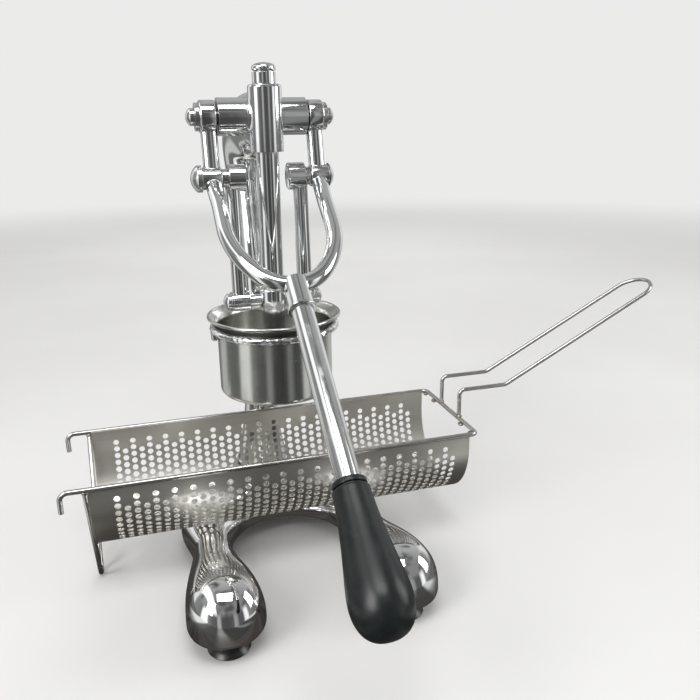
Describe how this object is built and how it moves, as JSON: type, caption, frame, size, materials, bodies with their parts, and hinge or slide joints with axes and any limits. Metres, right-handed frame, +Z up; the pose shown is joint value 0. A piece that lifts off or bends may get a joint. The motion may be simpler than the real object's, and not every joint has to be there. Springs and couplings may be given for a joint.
{
  "type": "lever press with catching trough",
  "caption": "Table-top lever press: a hand lever drives a plunger rod down into a hanging cup, over a loose perforated wire-handled trough that lies on the horseshoe base.",
  "frame": {"origin": "on the table, in the middle of the assembly's footprint: the plunger rod's axis stands 94.9 mm to the left of it (-X) and 78.5 mm behind it (+Y)", "axes": "+Z up along the plunger rod; the front, where the lever reaches out between the two legs, faces -Y; the trough lies along X with its handle at +X"},
  "size_m": [0.5478, 0.4085, 0.4095],
  "materials": {
    "chrome_casting": "mirror polished plating on smooth castings",
    "chrome_steel": "bright plated bar and tube",
    "fastener_steel": "bright plated fasteners",
    "dark_steel": "blackened screws out of sight",
    "cup_steel": "stainless sheet, brushed upright",
    "trough_steel": "perforated stainless sheet, satin",
    "wire_steel": "bright drawn stainless wire",
    "foot_rubber": "glossy dark soft rubber",
    "grip_plastic": "satin black moulded grip",
    "seal_ptfe": "smooth pale sealing ring"
  },
  "bodies": {
    "frame": {"base_casting": "chrome_casting", "suction_feet": "foot_rubber", "column_bolts": "dark_steel", "column_casting": "chrome_casting", "crossbar": "chrome_steel", "guide_sleeve": "chrome_steel", "pivot_bolts": "fastener_steel", "pivot_washers": "fastener_steel", "cup_ring": "chrome_casting", "ring_screw": "dark_steel"},
    "lever": {"fork_yoke": "chrome_steel", "handle_socket": "chrome_steel", "lever_tube": "chrome_steel", "grip": "grip_plastic", "link_pins": "fastener_steel", "dome_nuts": "fastener_steel"},
    "links": {"left_link": "chrome_steel", "right_link": "chrome_steel", "link_end_bolts": "fastener_steel", "link_end_nuts": "fastener_steel"},
    "plunger": {"plunger_rod": "chrome_steel", "rod_cap": "chrome_steel", "crosshead": "chrome_steel", "cross_pin": "fastener_steel", "plunger_disc": "cup_steel", "plunger_seal": "seal_ptfe", "plunger_nut": "fastener_steel"},
    "cup_body": {"cup": "cup_steel", "nozzle_plate": "cup_steel", "nozzles": "cup_steel"},
    "basket": {"basket_trough": "trough_steel", "basket_rim_wire": "wire_steel", "basket_handle": "wire_steel", "basket_leg": "wire_steel"}
  },
  "joints": [
    {"name": "lever_swing", "type": "hinge", "parent": "frame", "child": "lever", "pos_m": [-0.0949, 0.09593, 0.371], "axis": [-1, 0, 0], "range_deg": [0, 100]},
    {"name": "link_swing", "type": "hinge", "parent": "lever", "child": "links", "pos_m": [-0.0949, 0.08623, 0.3254], "axis": [-1, 0, 0], "range_deg": [-119.96, 0]},
    {"name": "plunger_slide", "type": "slide", "parent": "frame", "child": "plunger", "axis": [0, 0, 1], "range_m": [0, 0.06627]},
    {"name": "cup_turn", "type": "hinge", "parent": "frame", "child": "cup_body", "pos_m": [-0.0949, 0.07853, 0.2], "axis": [0, 0, 1], "continuous": true},
    {"name": "basket_slide", "type": "slide", "parent": "frame", "child": "basket", "axis": [1, 0, 0], "range_m": [-0.05, 0.05]}
  ],
  "couplings": [
    {"joint": "link_swing", "follows": "lever_swing", "ratio": -1.1995},
    {"joint": "plunger_slide", "follows": "lever_swing", "m_per_rad": 0.037963}
  ]
}
